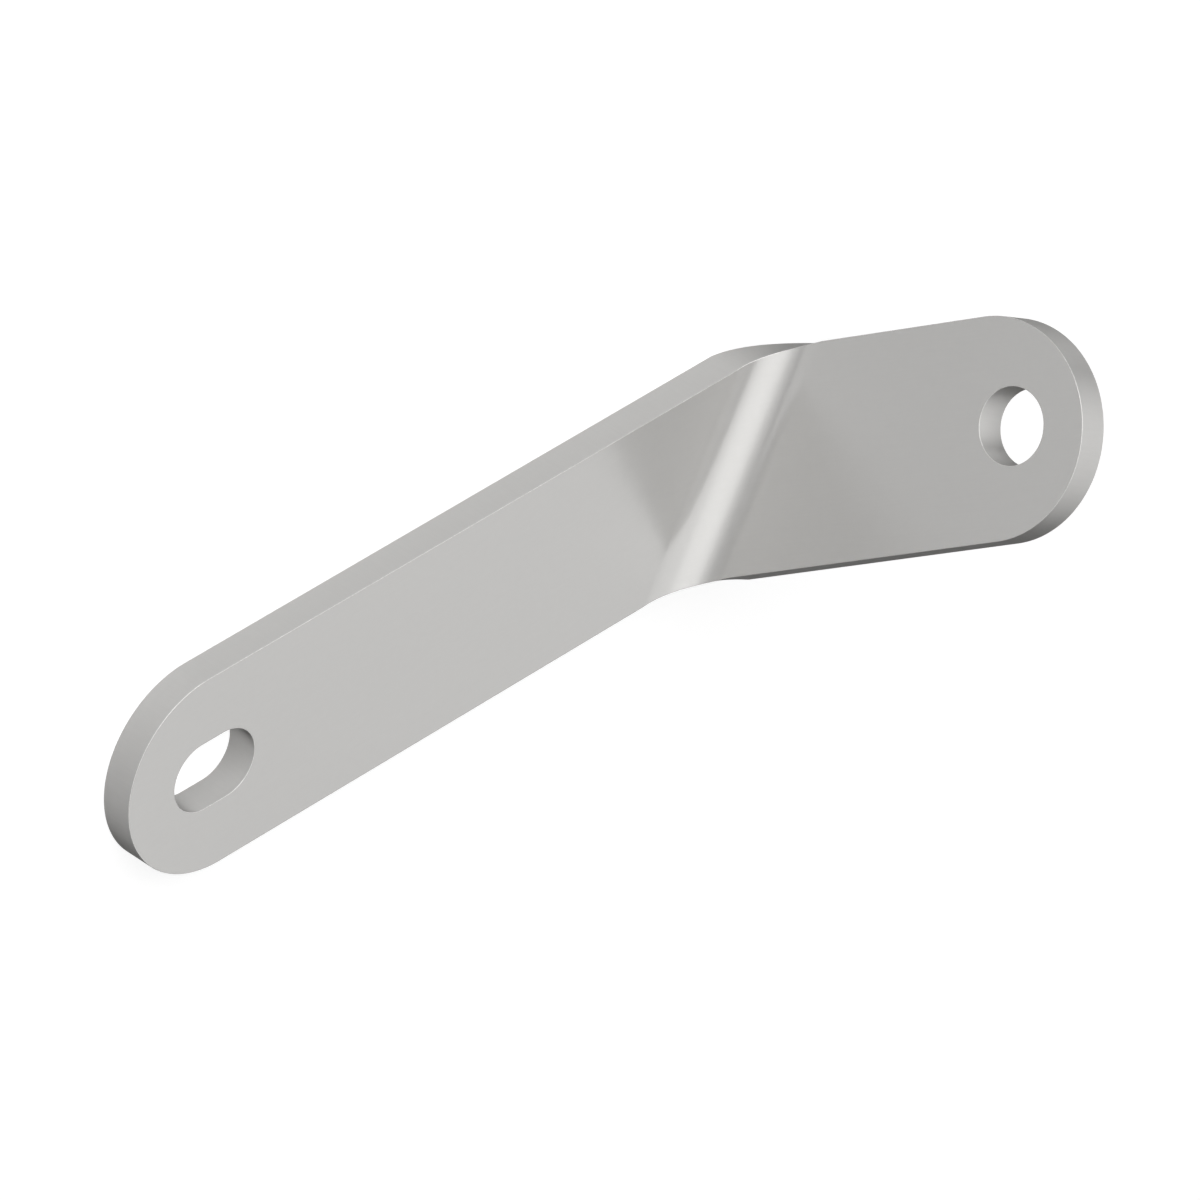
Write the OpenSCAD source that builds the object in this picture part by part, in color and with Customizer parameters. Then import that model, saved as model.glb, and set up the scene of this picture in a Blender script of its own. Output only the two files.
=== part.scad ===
/* [Strap] */
// Width of the flat bar
strap_w = 30; // [24:0.5:40]
// Thickness of the flat bar
strap_t = 4.8; // [3:0.1:8]

/* [Bend] */
// Radius on the inner side of the bend
bend_r = 6.5; // [4:0.1:12]
// Angle that the short arm is turned through
bend_angle = 90; // [45:1:100]
// Tilt of the bend line away from square across the bar
bend_skew = 31; // [0:1:40]
// Depth of the layer that keeps its length in the bend, as a share of the thickness
neutral_k = 0.35; // [0.3:0.01:0.5]

/* [Long arm] */
// Centre of the slot to the start of the bend, along the middle of the bar
long_reach = 86.3; // [60:0.1:140]
// Centre of the slot to the rounded tip
long_tip = 15; // [12:0.5:25]
// Width of the slot, clear of a 10 mm bolt
slot_w = 10.3; // [6:0.1:14]
// Length of the slot over its round ends
slot_len = 14; // [10:0.1:22]

/* [Short arm] */
// End of the bend to the centre of the hole, along the middle of the bar
short_reach = 39.6; // [34:0.1:80]
// Centre of the hole to the rounded tip
short_tip = 11.6; // [10:0.1:25]
// Diameter of the hole, clear of a 10 mm bolt
hole_d = 10.5; // [6:0.1:14]

/* [Hidden] */
$fn = 96;
// Steps round the bend in the edges of the bar
bend_steps = 30;
// Overrun of cutting shapes past the faces that they trim
over = 1;
// The full rounds of the tips are a hair over half the width, so each arc meets a side cleanly
tip_ease = 0.01;
tip_r = strap_w / 2 + tip_ease;
// Outer radius of the bend
bend_outer = bend_r + strap_t;
// Radius and length of the layer that keeps its length round the bend
neutral_r = bend_r + neutral_k * strap_t;
// Half of the bend line, from edge to edge of the bar
line_half = strap_w / 2 / cos(bend_skew);
// Half of how far the tilted bend line reaches along the bar
line_lead = strap_w / 2 * tan(bend_skew);
// Drift of the bar along the bend line for each degree of bend, as a slanted strip takes
drift = neutral_r * tan(bend_skew) * PI / 180;
// Sheet that the bar is cut from, well past both tips
sheet = long_reach + long_tip + short_reach + short_tip + strap_w;

// The long arm lies along Y, outer face down on Z = 0, with the slot's centre at the origin.
// In the bend's frame Y is the axis of the bend and X runs across the bend line.
module at_bend() {
    translate([0, long_reach, bend_outer])
        rotate([0, 0, 90 - bend_skew])
            children();
}

// The short arm's own frame: bar along Y, outer face on Z = 0, the hole's centre at the origin
module at_hole() {
    at_bend()
        translate([0, drift * bend_angle, 0])
            rotate([0, -bend_angle, 0])
                rotate([0, 0, bend_skew - 90])
                    translate([0, short_reach, -bend_outer])
                        children();
}

// A sheet wider than the bar, bent once: flat, quarter of a tube, flat
module bent_sheet() {
    module flat(side) {
        translate([side < 0 ? -sheet : 0, -sheet, -bend_outer])
            cube([sheet, 2 * sheet, strap_t]);
    }
    flat(-1);
    rotate([90, 0, 0])
        rotate_extrude(angle = bend_angle, start = -90)
            translate([bend_r, -sheet])
                square([strap_t, 2 * sheet]);
    rotate([0, -bend_angle, 0])
        flat(1);
}

// The bar's edges: straight along both arms, and climbing steadily along the axis in the bend
module edge_strip() {
    function ring(a, run) = [
        for (p = [[bend_r - over, -1], [bend_outer + over, -1],
                  [bend_outer + over, 1], [bend_r - over, 1]])
            [
                p[0] * sin(a) + run * cos(bend_skew) * cos(a),
                drift * a + p[1] * line_half + run * sin(bend_skew),
                run * cos(bend_skew) * sin(a) - p[0] * cos(a)
            ]
    ];
    rings = concat(
        [ring(0, -long_reach - long_tip - line_lead - over)],
        [for (i = [0 : bend_steps]) ring(bend_angle * i / bend_steps, 0)],
        [ring(bend_angle, short_reach + short_tip + line_lead + over)]
    );
    last = 4 * (len(rings) - 1);
    polyhedron(
        points = [for (r = rings) each r],
        faces = concat(
            [[0, 1, 2, 3]],
            [
                for (i = [0 : 4 : last - 4])
                    for (k = [0 : 3])
                        let (a = i + k, b = i + (k + 1) % 4)
                            each [[a, b + 4, b], [a, a + 4, b + 4]]
            ],
            [[last + 3, last + 2, last + 1, last]]
        ),
        convexity = 4
    );
}

// What is cut off past a full round, with the tip at the origin and the bar towards +Y
module past_tip() {
    reach = tip_r + 2 * line_lead + 2 * over;
    translate([0, 0, -over])
        linear_extrude(strap_t + 2 * over)
            difference() {
                translate([-strap_w, -reach])
                    square([2 * strap_w, reach + tip_r - 20 * tip_ease]);
                translate([0, tip_r])
                    circle(r = tip_r);
            }
}

module slot() {
    run = slot_len - slot_w;
    translate([0, 0, -over])
        linear_extrude(strap_t + 2 * over) {
            translate([0, -run / 2])
                circle(d = slot_w);
            translate([0, run / 2])
                circle(d = slot_w);
            translate([-slot_w / 2, -run / 2])
                square([slot_w, run]);
        }
}

module bolt_hole() {
    translate([0, 0, -over])
        cylinder(d = hole_d, h = strap_t + 2 * over);
}

module bracket() {
    color([0.75, 0.75, 0.74])
        difference() {
            at_bend()
                intersection() {
                    bent_sheet();
                    edge_strip();
                }
            slot();
            translate([0, -long_tip, 0])
                past_tip();
            at_hole() {
                bolt_hole();
                translate([0, short_tip, 0])
                    rotate(180)
                        past_tip();
            }
        }
}

bracket();
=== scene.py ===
import bmesh
import bpy
from math import pi, radians
from mathutils import Matrix, Vector


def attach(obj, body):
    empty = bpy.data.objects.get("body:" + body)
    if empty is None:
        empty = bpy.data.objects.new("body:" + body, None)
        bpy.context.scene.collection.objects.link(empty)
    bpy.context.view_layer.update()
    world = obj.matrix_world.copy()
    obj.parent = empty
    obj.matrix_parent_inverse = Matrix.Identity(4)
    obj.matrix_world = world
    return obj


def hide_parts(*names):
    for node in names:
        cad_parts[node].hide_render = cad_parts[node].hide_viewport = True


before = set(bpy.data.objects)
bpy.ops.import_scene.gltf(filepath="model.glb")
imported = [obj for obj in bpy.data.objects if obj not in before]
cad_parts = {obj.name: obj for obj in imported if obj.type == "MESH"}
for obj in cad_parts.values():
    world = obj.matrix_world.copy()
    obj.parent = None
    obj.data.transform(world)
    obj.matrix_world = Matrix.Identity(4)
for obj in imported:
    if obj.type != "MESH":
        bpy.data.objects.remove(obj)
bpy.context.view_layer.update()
scene = bpy.context.scene

# The strap
# One flat steel bar with full round ends, a slot in one end and a round hole in the other.
# It is cut and punched flat, then bent once to a right angle over a straight edge that
# lies slantwise across the bar, and keeps its length on a layer inside its thickness.

MM = 0.001
STRAP_SIZES = {
    "Bar width": 30.0 * MM,
    "Bar thickness": 4.8 * MM,
    "Inner bend radius": 6.5 * MM,
    "Bend angle": radians(90),
    "Bend line tilt": radians(31),
    "Neutral layer": 0.35,
    "Slot to bend": 86.3 * MM,
    "Slot to tip": 15.0 * MM,
    "Slot width": 10.3 * MM,
    "Slot length": 14.0 * MM,
    "Bend to hole": 39.6 * MM,
    "Hole to tip": 11.6 * MM,
    "Hole diameter": 10.5 * MM,
    "Edge rounding": 0.07 * MM,
}
# Points along each half round of a tip and of the slot, points round the hole, and rows of faces
TIP_POINTS = 97
SLOT_POINTS = 49
HOLE_POINTS = 96
BEND_ROWS = 60
ROUNDING_ROWS = 4
# Points nearer to each other than this are one
MERGE_GAP = 0.002 * MM
# A point belongs to an opening if this times its distance from the middle is within the width
OPENING_REACH = 1.9


def link_or_set(tree, socket, value):
    """Joins a socket to another one, or gives it a plain value."""
    if isinstance(value, bpy.types.NodeSocket):
        tree.links.new(value, socket)
    else:
        socket.default_value = value


def add_node(tree, kind, inputs=None, **settings):
    """Adds a node, with its settings and its inputs by name or number."""
    made = tree.nodes.new(kind)
    for name, value in settings.items():
        setattr(made, name, value)
    for name, value in (inputs or {}).items():
        link_or_set(tree, made.inputs[name], value)
    return made


def sums(tree):
    """Gives the arithmetic of one tree: each call adds a Math node and returns its result."""

    def calc(operation, first, second=0.0, third=0.0):
        made = add_node(tree, "ShaderNodeMath", operation=operation)
        for socket, value in zip(made.inputs, (first, second, third)):
            link_or_set(tree, socket, value)
        return made.outputs[0]

    return calc


def vector(tree, x, y, z):
    return add_node(tree, "ShaderNodeCombineXYZ", {0: x, 1: y, 2: z}).outputs[0]


def choose(tree, test, if_false, if_true):
    made = add_node(tree, "GeometryNodeSwitch", input_type="FLOAT")
    link_or_set(tree, made.inputs["Switch"], test)
    link_or_set(tree, made.inputs["False"], if_false)
    link_or_set(tree, made.inputs["True"], if_true)
    return made.outputs[0]


def at_least(tree, value, limit):
    made = add_node(tree, "FunctionNodeCompare", data_type="FLOAT", operation="GREATER_EQUAL")
    link_or_set(tree, made.inputs["A"], value)
    link_or_set(tree, made.inputs["B"], limit)
    return made.outputs["Result"]


def strap_tree(sizes):
    """The rule of the strap: blank outline, rounded cut edges, then the slanted bend."""
    tree = bpy.data.node_groups.new("bent strap", "GeometryNodeTree")
    for name, value in sizes.items():
        socket = tree.interface.new_socket(name, in_out="INPUT", socket_type="NodeSocketFloat")
        socket.default_value = value
    tree.interface.new_socket("Finish", in_out="INPUT", socket_type="NodeSocketMaterial")
    tree.interface.new_socket("Strap", in_out="OUTPUT", socket_type="NodeSocketGeometry")
    given = add_node(tree, "NodeGroupInput").outputs
    calc = sums(tree)

    half = calc("MULTIPLY", given["Bar width"], 0.5)
    outer_radius = calc("ADD", given["Inner bend radius"], given["Bar thickness"])
    neutral_radius = calc(
        "MULTIPLY_ADD", given["Bar thickness"], given["Neutral layer"], given["Inner bend radius"]
    )
    tilt_cos = calc("COSINE", given["Bend line tilt"])
    tilt_sin = calc("SINE", given["Bend line tilt"])
    tilt_tan = calc("DIVIDE", tilt_sin, tilt_cos)
    bend_length = calc("MULTIPLY", neutral_radius, given["Bend angle"])
    bend_run = calc("DIVIDE", bend_length, tilt_cos)
    bend_start = given["Slot to bend"]
    bend_end = calc("ADD", bend_start, bend_run)
    hole_at = calc("ADD", bend_end, given["Bend to hole"])
    long_centre = calc("SUBTRACT", half, given["Slot to tip"])
    short_centre = calc("SUBTRACT", calc("ADD", hole_at, given["Hole to tip"]), half)
    slot_run = calc("MULTIPLY", calc("SUBTRACT", given["Slot length"], given["Slot width"]), 0.5)

    index = add_node(tree, "GeometryNodeInputIndex").outputs[0]

    def loop_of(points, x, y):
        """A closed line in the plane of the blank, through points set by their number."""
        ring = add_node(tree, "GeometryNodeMeshCircle", {"Vertices": points})
        placed = add_node(
            tree,
            "GeometryNodeSetPosition",
            {"Geometry": ring.outputs[0], "Position": vector(tree, x, y, 0.0)},
        )
        return add_node(tree, "GeometryNodeMeshToCurve", {0: placed.outputs[0]}).outputs[0]

    def arm_loop(centre_y, line_y, first_angle):
        """An arm's outline: the half round of its tip, then the straight line at the bend."""
        turn = calc("DIVIDE", index, float(TIP_POINTS - 1))
        angle = calc("MULTIPLY_ADD", turn, pi, first_angle)
        on_line = at_least(tree, index, TIP_POINTS - 0.5)
        last = calc("SUBTRACT", index, float(TIP_POINTS))
        side = calc("MULTIPLY_ADD", last, -2.0, 1.0)
        if first_angle == 0.0:
            side = calc("MULTIPLY", side, -1.0)
        x = calc("MULTIPLY", half, choose(tree, on_line, calc("COSINE", angle), side))
        tip_y = calc("MULTIPLY_ADD", half, calc("SINE", angle), centre_y)
        cut_y = calc("SUBTRACT", line_y, calc("MULTIPLY", x, tilt_tan))
        return loop_of(TIP_POINTS + 2, x, choose(tree, on_line, tip_y, cut_y))

    def slot_loop():
        """Two half rounds and the straight sides between them."""
        far = at_least(tree, index, SLOT_POINTS - 0.5)
        place = calc("SUBTRACT", index, choose(tree, far, 0.0, float(SLOT_POINTS)))
        angle = calc("DIVIDE", calc("MULTIPLY", place, pi), float(SLOT_POINTS - 1))
        side = choose(tree, far, 1.0, -1.0)
        radius = calc("MULTIPLY", calc("MULTIPLY", given["Slot width"], 0.5), side)
        x = calc("MULTIPLY", radius, calc("COSINE", angle))
        centre_y = calc("MULTIPLY", slot_run, side)
        y = calc("ADD", calc("MULTIPLY", radius, calc("SINE", angle)), centre_y)
        return loop_of(2 * SLOT_POINTS, x, y)

    def hole_loop():
        angle = calc("MULTIPLY", index, 2 * pi / HOLE_POINTS)
        radius = calc("MULTIPLY", given["Hole diameter"], 0.5)
        x = calc("MULTIPLY", radius, calc("COSINE", angle))
        return loop_of(HOLE_POINTS, x, calc("MULTIPLY_ADD", radius, calc("SINE", angle), hole_at))

    def joined(*parts):
        made = add_node(tree, "GeometryNodeJoinGeometry")
        for part in reversed(parts):
            tree.links.new(part, made.inputs[0])
        return made.outputs[0]

    def filled(*loops):
        return add_node(tree, "GeometryNodeFillCurve", {0: joined(*loops)}).outputs[0]

    # The blank lies flat: long arm, strip that will be the bend, short arm
    grid = add_node(
        tree,
        "GeometryNodeMeshGrid",
        {
            "Size X": given["Bar width"],
            "Size Y": bend_run,
            "Vertices X": 2,
            "Vertices Y": BEND_ROWS + 1,
        },
    )
    position = add_node(tree, "GeometryNodeInputPosition").outputs[0]
    place = add_node(tree, "ShaderNodeSeparateXYZ", {0: position})
    middle = calc("MULTIPLY_ADD", bend_run, 0.5, bend_start)
    slope = calc("SUBTRACT", middle, calc("MULTIPLY", place.outputs[0], tilt_tan))
    strip = add_node(
        tree,
        "GeometryNodeSetPosition",
        {"Geometry": grid.outputs[0], "Offset": vector(tree, 0.0, slope, 0.0)},
    ).outputs[0]
    sheet = add_node(
        tree,
        "GeometryNodeMergeByDistance",
        {
            "Geometry": joined(
                filled(arm_loop(long_centre, bend_start, pi), slot_loop()),
                strip,
                filled(arm_loop(short_centre, bend_end, 0.0), hole_loop()),
            ),
            "Distance": MERGE_GAP,
        },
    ).outputs[0]

    # The cut edges go up in rows, one metre apart for now so that a row's number is its height
    rows = 2 * ROUNDING_ROWS + 1
    neighbours = add_node(tree, "GeometryNodeInputMeshEdgeNeighbors").outputs[0]
    rim = add_node(tree, "FunctionNodeCompare", data_type="INT", operation="EQUAL")
    link_or_set(tree, rim.inputs["A"], neighbours)
    link_or_set(tree, rim.inputs["B"], 1)
    walls, top = sheet, rim.outputs["Result"]
    up = vector(tree, 0.0, 0.0, 1.0)
    for _ in range(rows):
        step = add_node(
            tree,
            "GeometryNodeExtrudeMesh",
            {"Mesh": walls, "Selection": top, "Offset": up, "Offset Scale": 1.0},
            mode="EDGES",
        )
        walls, top = step.outputs["Mesh"], step.outputs["Top"]
    lid = add_node(
        tree,
        "GeometryNodeSetPosition",
        {"Geometry": sheet, "Offset": Vector((0.0, 0.0, float(rows)))},
    ).outputs[0]
    blank = add_node(
        tree,
        "GeometryNodeMergeByDistance",
        {"Geometry": joined(walls, lid), "Distance": MERGE_GAP},
    ).outputs[0]

    # Each row takes its depth in the bar, and its inset where the edge is rounded
    x, y, row = add_node(tree, "ShaderNodeSeparateXYZ", {0: position}).outputs
    from_face = calc("MINIMUM", row, calc("SUBTRACT", float(rows), row))
    share = calc("MINIMUM", calc("DIVIDE", from_face, float(ROUNDING_ROWS)), 1.0)
    angle = calc("MULTIPLY", share, pi / 2)
    inset = calc("MULTIPLY", given["Edge rounding"], calc("SUBTRACT", 1.0, calc("SINE", angle)))
    drop = calc("MULTIPLY", given["Edge rounding"], calc("SUBTRACT", 1.0, calc("COSINE", angle)))
    upper = at_least(tree, row, rows / 2)
    depth = choose(tree, upper, drop, calc("SUBTRACT", given["Bar thickness"], drop))

    def away_from(low_y, high_y):
        """Distance and direction of a point of the blank from a line along the bar's middle."""
        nearest = calc("MINIMUM", calc("MAXIMUM", y, low_y), high_y)
        off = vector(tree, x, calc("SUBTRACT", y, nearest), 0.0)
        length = add_node(tree, "ShaderNodeVectorMath", {0: off}, operation="LENGTH")
        way = add_node(tree, "ShaderNodeVectorMath", {0: off}, operation="NORMALIZE")
        return length.outputs["Value"], way.outputs["Vector"]

    def picked(test, if_false, if_true):
        made = add_node(tree, "GeometryNodeSwitch", input_type="VECTOR")
        link_or_set(tree, made.inputs["Switch"], test)
        link_or_set(tree, made.inputs["False"], if_false)
        link_or_set(tree, made.inputs["True"], if_true)
        return made.outputs[0]

    def turned(direction):
        return add_node(
            tree, "ShaderNodeVectorMath", {0: direction, "Scale": -1.0}, operation="SCALE"
        ).outputs["Vector"]

    _, outward = away_from(long_centre, short_centre)
    slot_far, slot_way = away_from(calc("MULTIPLY", slot_run, -1.0), slot_run)
    hole_far, hole_way = away_from(hole_at, hole_at)
    slot_far = calc("MULTIPLY", slot_far, OPENING_REACH)
    hole_far = calc("MULTIPLY", hole_far, OPENING_REACH)
    near_slot = at_least(tree, given["Slot width"], slot_far)
    near_hole = at_least(tree, given["Hole diameter"], hole_far)
    outward = picked(near_slot, outward, turned(slot_way))
    outward = picked(near_hole, outward, turned(hole_way))
    inwards = add_node(
        tree,
        "ShaderNodeVectorMath",
        {0: outward, "Scale": calc("MULTIPLY", inset, -1.0)},
        operation="SCALE",
    ).outputs["Vector"]
    rounded = add_node(
        tree,
        "ShaderNodeVectorMath",
        {0: vector(tree, x, y, depth), 1: inwards},
        operation="ADD",
    ).outputs["Vector"]

    # Attributes for the finish: where a point lay in the blank, and how far it is into a cut edge
    stored = add_node(
        tree,
        "GeometryNodeStoreNamedAttribute",
        {"Geometry": blank, "Name": "cut", "Value": share},
        data_type="FLOAT",
        domain="POINT",
    ).outputs[0]
    flat = add_node(
        tree,
        "GeometryNodeSetPosition",
        {"Geometry": stored, "Position": rounded},
    ).outputs[0]
    flat = add_node(
        tree,
        "GeometryNodeStoreNamedAttribute",
        {"Geometry": flat, "Name": "blank", "Value": position},
        data_type="FLOAT_VECTOR",
        domain="POINT",
    ).outputs[0]

    # The bend: past the bend line the sheet wraps round a straight axis above it, then runs on
    x, y, depth = add_node(tree, "ShaderNodeSeparateXYZ", {0: position}).outputs
    along = calc("SUBTRACT", y, bend_start)
    past = calc("ADD", calc("MULTIPLY", x, tilt_sin), calc("MULTIPLY", along, tilt_cos))
    sideways = calc("SUBTRACT", calc("MULTIPLY", along, tilt_sin), calc("MULTIPLY", x, tilt_cos))
    wrapped = calc("MINIMUM", calc("MAXIMUM", past, 0.0), bend_length)
    rest = calc("SUBTRACT", past, wrapped)
    turn = calc("DIVIDE", wrapped, neutral_radius)
    radius = calc("SUBTRACT", outer_radius, depth)
    turn_sin = calc("SINE", turn)
    turn_cos = calc("COSINE", turn)
    forward = calc("ADD", calc("MULTIPLY", radius, turn_sin), calc("MULTIPLY", rest, turn_cos))
    height = calc(
        "ADD",
        calc("SUBTRACT", outer_radius, calc("MULTIPLY", radius, turn_cos)),
        calc("MULTIPLY", rest, turn_sin),
    )
    bent_x = calc(
        "SUBTRACT",
        calc("MULTIPLY", forward, tilt_sin),
        calc("MULTIPLY", sideways, tilt_cos),
    )
    bent_y = calc(
        "ADD",
        bend_start,
        calc("ADD", calc("MULTIPLY", forward, tilt_cos), calc("MULTIPLY", sideways, tilt_sin)),
    )
    bent = add_node(
        tree,
        "GeometryNodeSetPosition",
        {"Geometry": flat, "Position": vector(tree, bent_x, bent_y, height)},
    ).outputs[0]
    smooth = add_node(tree, "GeometryNodeSetShadeSmooth", {0: bent}).outputs[0]
    real = add_node(tree, "GeometryNodeRealizeInstances", {0: smooth}).outputs[0]
    dressed = add_node(
        tree, "GeometryNodeSetMaterial", {"Geometry": real, "Material": given["Finish"]}
    ).outputs[0]
    add_node(tree, "NodeGroupOutput", {0: dressed})
    return tree


STEEL_GREY = Vector((0.550, 0.544, 0.533))
STEEL_METALLIC = 0.45
STEEL_ROUGHNESS = 0.24
# How much of its mirror gloss the rolled skin keeps at a grazing angle, and the gloss of a film
GRAZING_GLOSS = 0.15
FILM_GLOSS = 0.0
# How fine each mark in the metal is: the rolling grain along the bar, the mottle and cloud of its
# skin, and the lines that the shear leaves across the cut edges
GRAIN_SCALE = 4200.0
MOTTLE_SCALE = 900.0
CLOUD_SCALE = 28.0
SHEAR_SCALE = 3000.0
# What each mark adds to the tone, to the roughness and to the relief
TONE_MARKS = {
    "face grain": 0.03,
    "shear": 0.05,
    "mottle": 0.03,
    "cloud": 0.04,
    # The broken edges' lighter tone is partly wear and partly a painted highlight
    "broken edge wear and painted highlight": 0.04,
}
ROUGHNESS_MARKS = {"grain": 0.06, "mottle": 0.05, "wall": 0.08, "broken edge wear and painted highlight": 0.15}
RELIEF_MARKS = {"face grain": 0.7, "shear": 0.12, "mottle": 0.3}
RELIEF_DEPTH = 0.02 * MM
RELIEF_STRENGTH = 0.2
# The plain wall of a cut edge starts where the rounding is this far through
WALL_FROM = 0.98


def satin_steel():
    """Plain rolled steel, light grey and satin: a faint grain, and broken edges lighter in tone,
    partly wear and partly a painted highlight.
    """
    finish = bpy.data.materials.new("satin steel")
    finish.use_nodes = True
    tree = finish.node_tree
    tree.nodes.clear()
    calc = sums(tree)
    blank = add_node(tree, "ShaderNodeAttribute", attribute_name="blank").outputs["Vector"]
    cut = add_node(tree, "ShaderNodeAttribute", attribute_name="cut").outputs["Fac"]

    def noise(stretch, scale, detail, roughness=0.5):
        """Noise in the plane of the blank, drawn out along the axes that stretch makes small."""
        mapped = add_node(tree, "ShaderNodeMapping", {"Vector": blank, "Scale": Vector(stretch)})
        made = add_node(
            tree,
            "ShaderNodeTexNoise",
            {"Vector": mapped.outputs[0], "Scale": scale, "Detail": detail, "Roughness": roughness},
        )
        return calc("SUBTRACT", made.outputs["Fac"], 0.5)

    wall = calc("GREATER_THAN", cut, WALL_FROM)
    grain = noise((1.0, 0.04, 1.0), GRAIN_SCALE, 3.0)
    shear = noise((1.0, 1.0, 0.06), SHEAR_SCALE, 2.0)
    marks = {
        "grain": grain,
        "face grain": calc("MULTIPLY", grain, calc("SUBTRACT", 1.0, wall)),
        "shear": calc("MULTIPLY", shear, wall),
        "mottle": noise((1.0, 1.0, 1.0), MOTTLE_SCALE, 4.0, 0.6),
        "cloud": noise((1.0, 0.6, 1.0), CLOUD_SCALE, 2.0),
        "wall": wall,
        # The rounded rows of a cut edge: their tone is lifted, partly as wear and partly as a
        # painted highlight, and they are rougher
        "broken edge wear and painted highlight": calc("MULTIPLY", calc("SUBTRACT", 1.0, cut), calc("MULTIPLY", cut, 4.0)),
    }

    def with_marks(total, weights):
        """Adds some of the marks to a plain value, each by its own weight."""
        for name, weight in weights.items():
            total = calc("MULTIPLY_ADD", marks[name], weight, total)
        return total

    colour = add_node(
        tree,
        "ShaderNodeVectorMath",
        {0: STEEL_GREY, "Scale": with_marks(1.0, TONE_MARKS)},
        operation="SCALE",
    ).outputs["Vector"]
    bump = add_node(
        tree,
        "ShaderNodeBump",
        {
            "Strength": RELIEF_STRENGTH,
            "Distance": RELIEF_DEPTH,
            "Height": with_marks(0.0, RELIEF_MARKS),
        },
    )
    shader = add_node(
        tree,
        "ShaderNodeBsdfPrincipled",
        {
            "Base Color": colour,
            "Metallic": STEEL_METALLIC,
            "Roughness": with_marks(STEEL_ROUGHNESS, ROUGHNESS_MARKS),
            "Specular IOR Level": FILM_GLOSS,
            "Specular Tint": (GRAZING_GLOSS, GRAZING_GLOSS, GRAZING_GLOSS, 1.0),
            "Normal": bump.outputs[0],
        },
    )
    add_node(tree, "ShaderNodeOutputMaterial", {"Surface": shader.outputs[0]})
    return finish


steel = satin_steel()
rule = bpy.data.objects.new("strap_rule", bpy.data.meshes.new("strap rule"))
scene.collection.objects.link(rule)
bend_rule = rule.modifiers.new("bent strap", "NODES")
bend_rule.node_group = strap_tree(STRAP_SIZES)
for item in bend_rule.node_group.interface.items_tree:
    if item.in_out == "INPUT":
        bend_rule[item.identifier] = steel if item.name == "Finish" else STRAP_SIZES[item.name]
bpy.context.view_layer.update()
evaluated = rule.evaluated_get(bpy.context.evaluated_depsgraph_get())
strap_mesh = bpy.data.meshes.new_from_object(evaluated)
bpy.data.objects.remove(rule)
shell = bmesh.new()
shell.from_mesh(strap_mesh)
bmesh.ops.recalc_face_normals(shell, faces=shell.faces)
shell.to_mesh(strap_mesh)
shell.free()
strap = bpy.data.objects.new("strap", strap_mesh)
scene.collection.objects.link(strap)
weighted = strap.modifiers.new("even shading", "WEIGHTED_NORMAL")
weighted.mode = "FACE_AREA"
weighted.weight = 100
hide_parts("bracket")
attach(strap, "root")

# The floor
# A plain pale sheet that the long arm lies on. It looks white to the camera and keeps the
# soft shadow of the bar, and the steel mirrors it as a pale pool.

FLOOR_HALF = 3.0
FLOOR_Z = -0.05 * MM
FLOOR_GREY = 0.30
WHITE = (1.0, 1.0, 1.0, 1.0)
# Light added to the floor where the camera sees it, and where the steel mirrors it
FLOOR_SEEN = 0.85
FLOOR_MIRRORED = 0.60
# The mirrored floor is a pool of light round the object, which fades between these distances
OBJECT_MIDDLE = Vector((-0.008, 0.051, 0.02))
POOL_NEAR = 0.10
POOL_FAR = 0.80
floor_mesh = bpy.data.meshes.new("floor")
corners = ((-1, -1), (1, -1), (1, 1), (-1, 1))
floor_mesh.from_pydata(
    [(x * FLOOR_HALF, y * FLOOR_HALF, FLOOR_Z) for x, y in corners], [], [(0, 1, 2, 3)]
)
floor = bpy.data.objects.new("floor", floor_mesh)
scene.collection.objects.link(floor)


def blend(tree, share, first, second):
    return add_node(tree, "ShaderNodeMix", {0: share, 2: first, 3: second}).outputs[0]


def light_shown(tree, seen, mirrored, otherwise):
    """The strength that a ray meets: from the camera, from gloss or glass, or otherwise."""
    path = add_node(tree, "ShaderNodeLightPath").outputs
    gloss = sums(tree)("MAXIMUM", path["Is Glossy Ray"], path["Is Transmission Ray"])
    return blend(tree, path["Is Camera Ray"], blend(tree, gloss, otherwise, mirrored), seen)


paper = bpy.data.materials.new("pale floor")
paper.use_nodes = True
tree = paper.node_tree
tree.nodes.clear()
pale = (FLOOR_GREY, FLOOR_GREY, FLOOR_GREY, 1.0)
matt = add_node(tree, "ShaderNodeBsdfDiffuse", {"Color": pale})
place = add_node(tree, "ShaderNodeTexCoord").outputs["Object"]
away = add_node(tree, "ShaderNodeVectorMath", {0: place, 1: OBJECT_MIDDLE}, operation="DISTANCE")
pool = add_node(
    tree,
    "ShaderNodeMapRange",
    {
        "Value": away.outputs["Value"],
        "From Min": POOL_NEAR,
        "From Max": POOL_FAR,
        "To Min": FLOOR_MIRRORED,
        "To Max": 0.0,
    },
).outputs[0]
lift = add_node(
    tree,
    "ShaderNodeEmission",
    {"Color": WHITE, "Strength": light_shown(tree, FLOOR_SEEN, pool, 0.0)},
)
both = add_node(tree, "ShaderNodeAddShader", {0: matt.outputs[0], 1: lift.outputs[0]})
add_node(tree, "ShaderNodeOutputMaterial", {"Surface": both.outputs[0]})
floor_mesh.materials.append(paper)

# The studio
# A wide soft lamp beside the camera and a weak one above, in a pale room. The band of light
# in the bend is this room, mirrored by the inner side of the strap.

# The room's own light on the object, from every side
ROOM_FILL = 0.04
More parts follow.
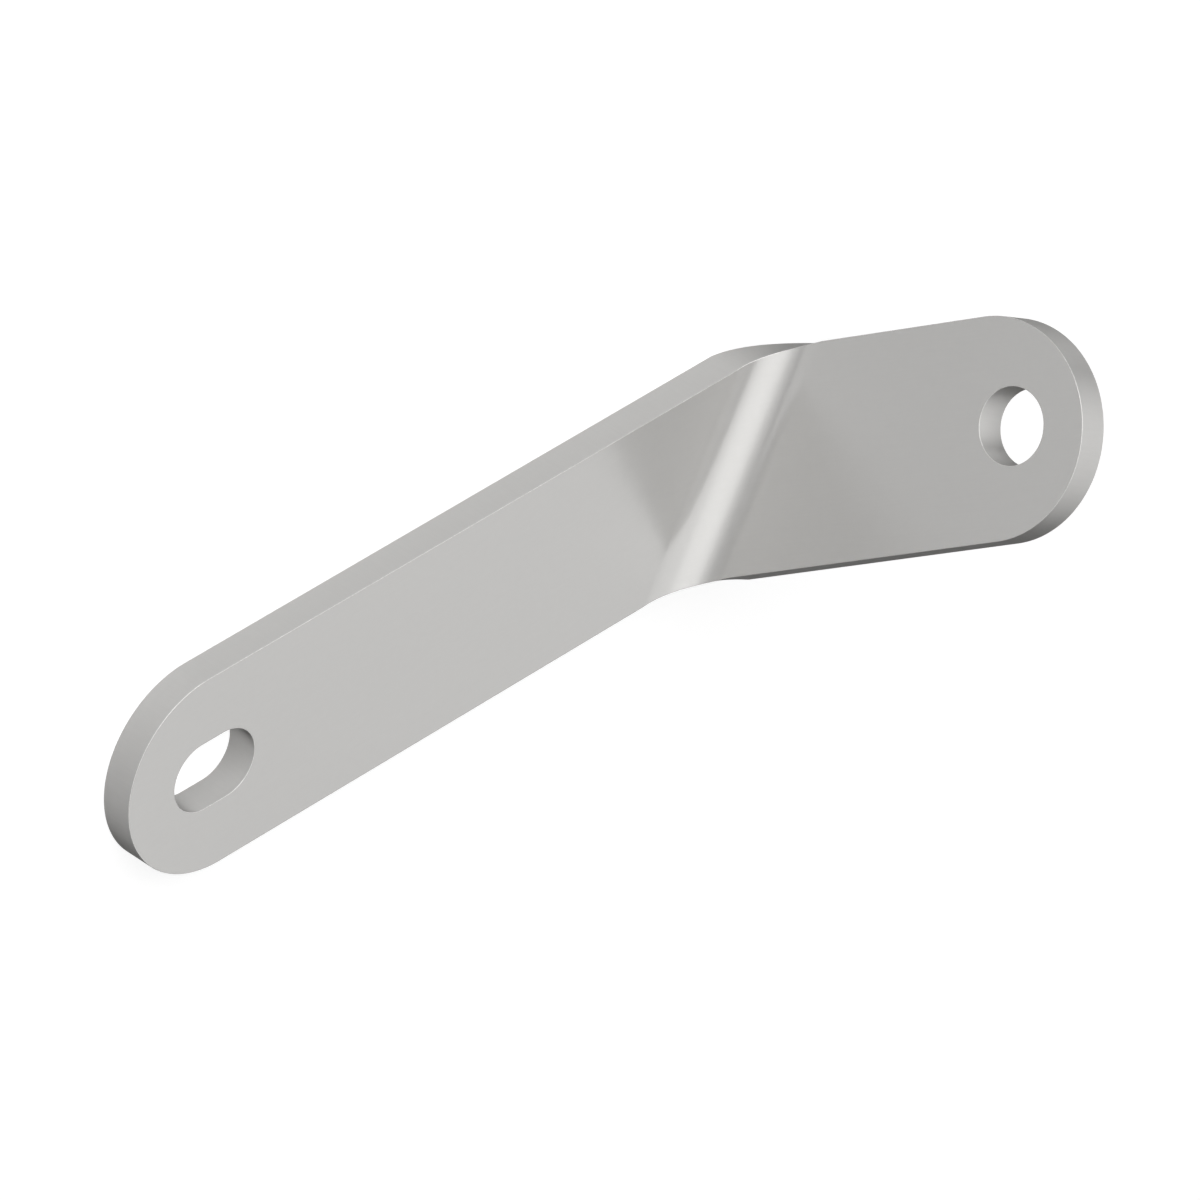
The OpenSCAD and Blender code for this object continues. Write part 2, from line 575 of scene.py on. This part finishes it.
# The room that the steel mirrors is dark at the foot of its walls and brightens upwards, up to
# this strength at this height (the sine of its angle above the floor)
ROOM_HIGH = 1.36
ROOM_HIGH_SINE = 0.56
ROOM_RISE = 0.7
world = bpy.data.worlds.new("studio")
scene.world = world
world.use_nodes = True
tree = world.node_tree
tree.nodes.clear()
calc = sums(tree)
way = add_node(tree, "ShaderNodeTexCoord").outputs["Generated"]
height = add_node(tree, "ShaderNodeSeparateXYZ", {0: way}).outputs[2]
height = calc("DIVIDE", height, ROOM_HIGH_SINE)
height = calc("MINIMUM", calc("MAXIMUM", height, 0.0), 1.0)
upwards = calc("MULTIPLY", calc("POWER", height, ROOM_RISE), ROOM_HIGH)
room = add_node(
    tree,
    "ShaderNodeBackground",
    {"Color": WHITE, "Strength": light_shown(tree, 1.0, upwards, ROOM_FILL)},
)
add_node(tree, "ShaderNodeOutputWorld", {"Surface": room.outputs[0]})

LAMP_DISTANCE = 1.2
KEY_WAY = (-0.77, -0.12, 0.59)
KEY_SIZE = 1.5
KEY_POWER = 21.7
TOP_WAY = (-0.12, -0.58, 0.80)
TOP_SIZE = 1.2
TOP_POWER = 1.6


def soft_lamp(name, way, size, power):
    """A square lamp that faces the middle of the object from the given direction."""
    data = bpy.data.lights.new(name, "AREA")
    data.shape = "SQUARE"
    data.size = size
    data.energy = power
    lamp = bpy.data.objects.new(name, data)
    way = Vector(way).normalized()
    lamp.location = OBJECT_MIDDLE + way * LAMP_DISTANCE
    lamp.rotation_mode = "QUATERNION"
    lamp.rotation_quaternion = way.to_track_quat("Z", "Y")
    scene.collection.objects.link(lamp)


soft_lamp("key", KEY_WAY, KEY_SIZE, KEY_POWER)
soft_lamp("top", TOP_WAY, TOP_SIZE, TOP_POWER)

# The camera
# The strap is photographed with a long lens, from the side that the bend folds towards,
# and the camera is turned on its side against the floor that the bracket lies on.

VIEW_AZIMUTH = radians(-47.6215)
VIEW_ELEVATION = radians(35.568)
VIEW_ROLL = radians(121.2623)
VIEW_DISTANCE = 1.355035
VIEW_TARGET = Vector((-11.2238, 50.4321, 24.8401)) * MM
SENSOR_WIDTH = 36.0
FOCAL_LENGTH = 311.321
NEAREST_SEEN = 0.05
FARTHEST_SEEN = 20.0
lens = bpy.data.cameras.new("camera")
lens.sensor_width = SENSOR_WIDTH
lens.lens = FOCAL_LENGTH
lens.clip_start = NEAREST_SEEN
lens.clip_end = FARTHEST_SEEN
camera = bpy.data.objects.new("camera", lens)
turn = (
    Matrix.Rotation(VIEW_AZIMUTH, 4, "Z")
    @ Matrix.Rotation(pi / 2 - VIEW_ELEVATION, 4, "X")
    @ Matrix.Rotation(VIEW_ROLL, 4, "Z")
)
back = Matrix.Translation((0, 0, VIEW_DISTANCE))
camera.matrix_world = Matrix.Translation(VIEW_TARGET) @ turn @ back
scene.collection.objects.link(camera)
scene.camera = camera
scene.view_settings.view_transform = "Standard"
